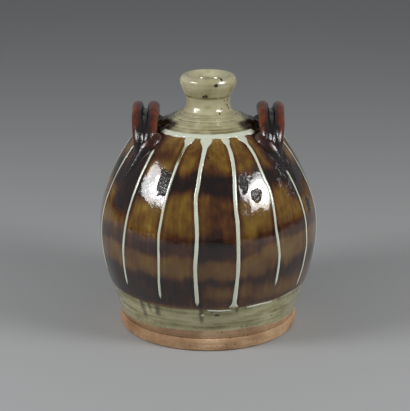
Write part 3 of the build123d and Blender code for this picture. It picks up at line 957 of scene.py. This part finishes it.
# Where the four roots stand, by side and whether in front, and their half width and rise at
# shares of their length from the top down
ROOT_AZIMUTHS = {(-1, True): -53.2, (1, True): 53.2, (1, False): 126.8, (-1, False): 233.2}
ROOT_SHARES = (0, 0.04, 0.1, 0.18, 0.28, 0.4, 0.55, 0.7, 0.85, 0.95, 1.0)
ROOT_HALF_WIDTHS = (3.0, 6.5, 9.0, 10.8, 11.4, 10.8, 8.8, 6.4, 4.2, 2.4, 0.5)
ROOT_RISES = (0.6, 3.4, 6.2, 7.6, 7.2, 5.6, 3.6, 2.2, 1.3, 0.7, 0.15)
CONE_FOOT = 171


def sunk(points, depth):
    """Points of a lug that lie deeper in the wall than a depth, moved out to that depth."""
    x, y, z = np.moveaxis(points, -1, 0)
    r = np.hypot(x, y)
    high = z > CONE_FOOT
    out_r, out_z = np.where(high, CONE_OUT[0], 1.0), np.where(high, CONE_OUT[1], 0.0)
    inside = np.maximum(0, (wall_radius(z) - r) * out_r - depth)
    share = (r + inside * out_r) / r
    return np.stack([x * share, y * share, z + inside * out_z], -1)


def over_arch(name, x, out, turn):
    """A mesh of a strip over the arch: its points lie at a distance out from the arch's axis, and
    are moved out where the strip would lie more than 3 mm deep in the wall."""
    points = np.broadcast_arrays(x, out * np.sin(turn), ARCH_AXIS + out * np.cos(turn))
    points = sunk(np.stack(points, -1), 3.0) * MM
    return grid_mesh(name, points, close_v=True, caps=("low", "high"))


def foot_inset(lean):
    """How far the arch draws in towards its axis at its feet."""
    return 5.5 * smooth(np.abs(lean), 52, 88)


def coil(side, offset, seed):
    """A pulled coil: a round section carried over an arch, its width swelling and shrinking
    slowly, and sunk in the wall at both ends."""
    lean = np.linspace(-88, 88, 150)[:, None]
    turn = np.radians(lean)
    splay = np.sign(offset) * (0.1 * np.cos(turn) ** 2 - 3.2 * smooth(np.abs(lean), 24, 72))
    middle = LUG_OFFSET + offset + splay + 0.35 * noise(lean / 26, 0.5, seed)
    arch = ARCH_RADIUS - 1.3 * np.cos(turn) ** 2 - foot_inset(lean)
    arch = arch + 0.35 * noise(lean / 30, 0.5, seed + 1)
    swell = (1.11 if offset < 0 else 1.03) + 0.05 * noise(lean / 13, 0.5, seed + 2)
    radius = COIL_RADIUS * swell + 0.7 * smooth(np.abs(lean), 25, 60)
    a = np.linspace(0, 2 * np.pi, 36, endpoint=False)[None, :]
    radius = radius * (1 + 0.035 * noise(a / (2 * np.pi) * 9, lean / 9, seed + 3, 9))
    name = f"{SIDES[side]}_{'inner' if offset < 0 else 'outer'}_coil"
    mesh = over_arch(name, side * (middle + radius * np.cos(a)), arch + radius * np.sin(a), turn)

    x, _, z = coordinates(mesh)
    away = (np.abs(x) - LUG_OFFSET) * np.sign(offset)
    crest = bump(away - abs(offset), 1.0, 6.5)
    ridge = 0.16 + 0.36 * crest * smooth(z, 165, 195) + 0.1 * smooth(z, 196, 204)
    ridge = ridge + 0.15 * smooth(away, 8, 11) * smooth(z, 160, 185) - 0.25 * smooth(away, 5, 2)
    paint(mesh, ridge=ridge)
    add_piece(name + "_clay", mesh, name, "rust_glaze")


def valley(side, seed):
    """The slip and clay between the two coils: a strip over the arch, hollow along its middle, low
    under the crown and full at the haunches."""
    lean = np.linspace(-86, 86, 140)[:, None]
    t = np.linspace(-1, 1, 13)[None, :]
    fill = smooth(np.abs(lean), 12, 52)
    top = ARCH_RADIUS - 4.6 + 8.2 * fill + (0.6 + 1.4 * fill) * t**2
    top = top + 0.3 * noise(lean / 12, t, seed)
    under = np.full(top.shape, ARCH_RADIUS - 4.9)
    across = np.hstack([t, t[:, ::-1]]) * (3.4 + 2.0 * fill)
    level = np.hstack([top, under]) - foot_inset(lean)
    name = f"{SIDES[side]}_coil_valley"
    mesh = over_arch(name, side * (LUG_OFFSET + across), level, np.radians(lean))
    paint(mesh, ridge=0.02)
    add_piece(name + "_clay", mesh, name, "rust_glaze")


def root(side, front, seed):
    """A smeared root: a pad that spreads the coils' ends over the wall, broad and proud under the
    haunch, narrowing to a tail as the wall turns down, with a hollow down its middle."""
    azimuth = ROOT_AZIMUTHS[side, front]
    backwards = side if front else -side
    top, foot = wall_run_at(183.0), wall_run_at(146.0 if side < 0 else 140.0)
    t = np.linspace(0, 1, 100)[:, None]
    run = top + (foot - top) * t
    r, _ = point_at(run)
    s = np.linspace(-1, 1, 41)[None, :]
    half = np.interp(t, ROOT_SHARES, ROOT_HALF_WIDTHS) * (1 + 0.08 * noise(t * 7, 0.5, seed))
    hollow = 0.3 * np.exp(-((s / 0.26) ** 2)) * (1 - smooth(t, 0.5, 0.95))
    section = (1 - np.abs(s) ** 2.6) * (1 - hollow)
    ripple = 1 + 0.07 * noise(s * 3, t * 8, seed + 1)
    lift = np.interp(t, ROOT_SHARES, ROOT_RISES) * section * ripple - 0.1
    lean = backwards * (3.2 + (7.5 if side > 0 else 4.5) * smooth(t, 0.25, 1))
    name = f"{SIDES[side]}_{'front' if front else 'rear'}_root"
    mesh = pad(name, azimuth + lean + s * np.degrees(half / r), run, lift, 1.2)

    a, r, z = place(mesh)
    ridge = 0.06 + 0.16 * smooth(noise(a * 1.3, z / 3, seed + 2), 0.0, 0.9)
    ridge = ridge + 0.24 * smooth(z, 168, 180)
    from_middle = np.radians(np.abs(swing(a - azimuth))) * r
    worn = smooth(noise(a / 2, z / 6, seed + 3), -0.4, 0.4) * smooth(z, 158, 168)
    paint(mesh, ridge=ridge + 0.35 * bump(from_middle, 9.5, 3.2) * worn)
    add_piece(name + "_clay", mesh, name, "rust_glaze")


# The flask

foot_ring()
globe()
neck_and_rim()
iron_coat()
shoulder_rings()
scraps()
for number in range(len(TRAIL_PATHS)):
    trail(number)
for side in SIDES:
    coil(side, -COIL_PITCH / 2, 201 + 10 * side)
    coil(side, COIL_PITCH / 2, 231 + 10 * side)
    valley(side, 261 + side)
    for front in (True, False):
        root(side, front, 281 + 10 * side + (4 if front else 0))


# The studio: a pale floor that runs to the horizon, a small bright lamp inside a broader soft one
# at each side, a plain grey world and the camera


def studio_floor():
    """The floor, one flat sheet."""
    mesh = bpy.data.meshes.new("studio_floor")
    reach = 12.0
    corners = [(-reach, -reach, 0), (reach, -reach, 0), (reach, reach, 0), (-reach, reach, 0)]
    mesh.from_pydata(corners, [], [(0, 1, 2, 3)])
    floor = bpy.data.objects.new("studio_floor", mesh)
    bpy.context.scene.collection.objects.link(floor)
    material, _, shader = finish("floor_paper", 1.45)
    shader.inputs["Base Color"].default_value = (0.42, 0.423, 0.427, 1)
    shader.inputs["Roughness"].default_value = 0.9
    shader.inputs["Specular IOR Level"].default_value = 0.1
    mesh.materials.append(material)


def soft_box(name, azimuth, climb, distance, width, height, power):
    """A rectangular lamp at an azimuth and a climb from the flask, turned to face it."""
    lamp = bpy.data.lights.new(name, "AREA")
    lamp.shape = "RECTANGLE"
    lamp.size, lamp.size_y, lamp.energy = width, height, power
    target = Vector((0, 0, 0.13))
    a, e = radians(azimuth), radians(climb)
    aim = Vector((np.sin(a) * np.cos(e), -np.cos(a) * np.cos(e), np.sin(e)))
    box = bpy.data.objects.new(name, lamp)
    box.location = target + distance * aim
    box.rotation_euler = aim.to_track_quat("Z", "Y").to_euler()
    bpy.context.scene.collection.objects.link(box)


studio_floor()
for side, azimuth, climb in (("left", -65, 27), ("right", 61, 26)):
    soft_box(f"{side}_soft_box", azimuth, climb, 1.3, 0.36, 0.22, 4.2)
    soft_box(f"{side}_soft_box_edge", azimuth, climb, 1.31, 0.60, 0.38, 6.0)

world = bpy.data.worlds.new("studio_air")
bpy.context.scene.world = world
world.use_nodes = True
world.node_tree.nodes["Background"].inputs[0].default_value = (0.30, 0.305, 0.31, 1)
world.node_tree.nodes["Background"].inputs[1].default_value = 0.62

camera = bpy.data.objects.new("camera", bpy.data.cameras.new("camera"))
camera.location = (-0.0028, -1.2152, 0.4900)
camera.rotation_euler = (radians(90 - 17.42), 0, 0)
camera.data.lens = 123.4
bpy.context.scene.collection.objects.link(camera)
bpy.context.scene.camera = camera
bpy.context.scene.view_settings.view_transform = "Standard"
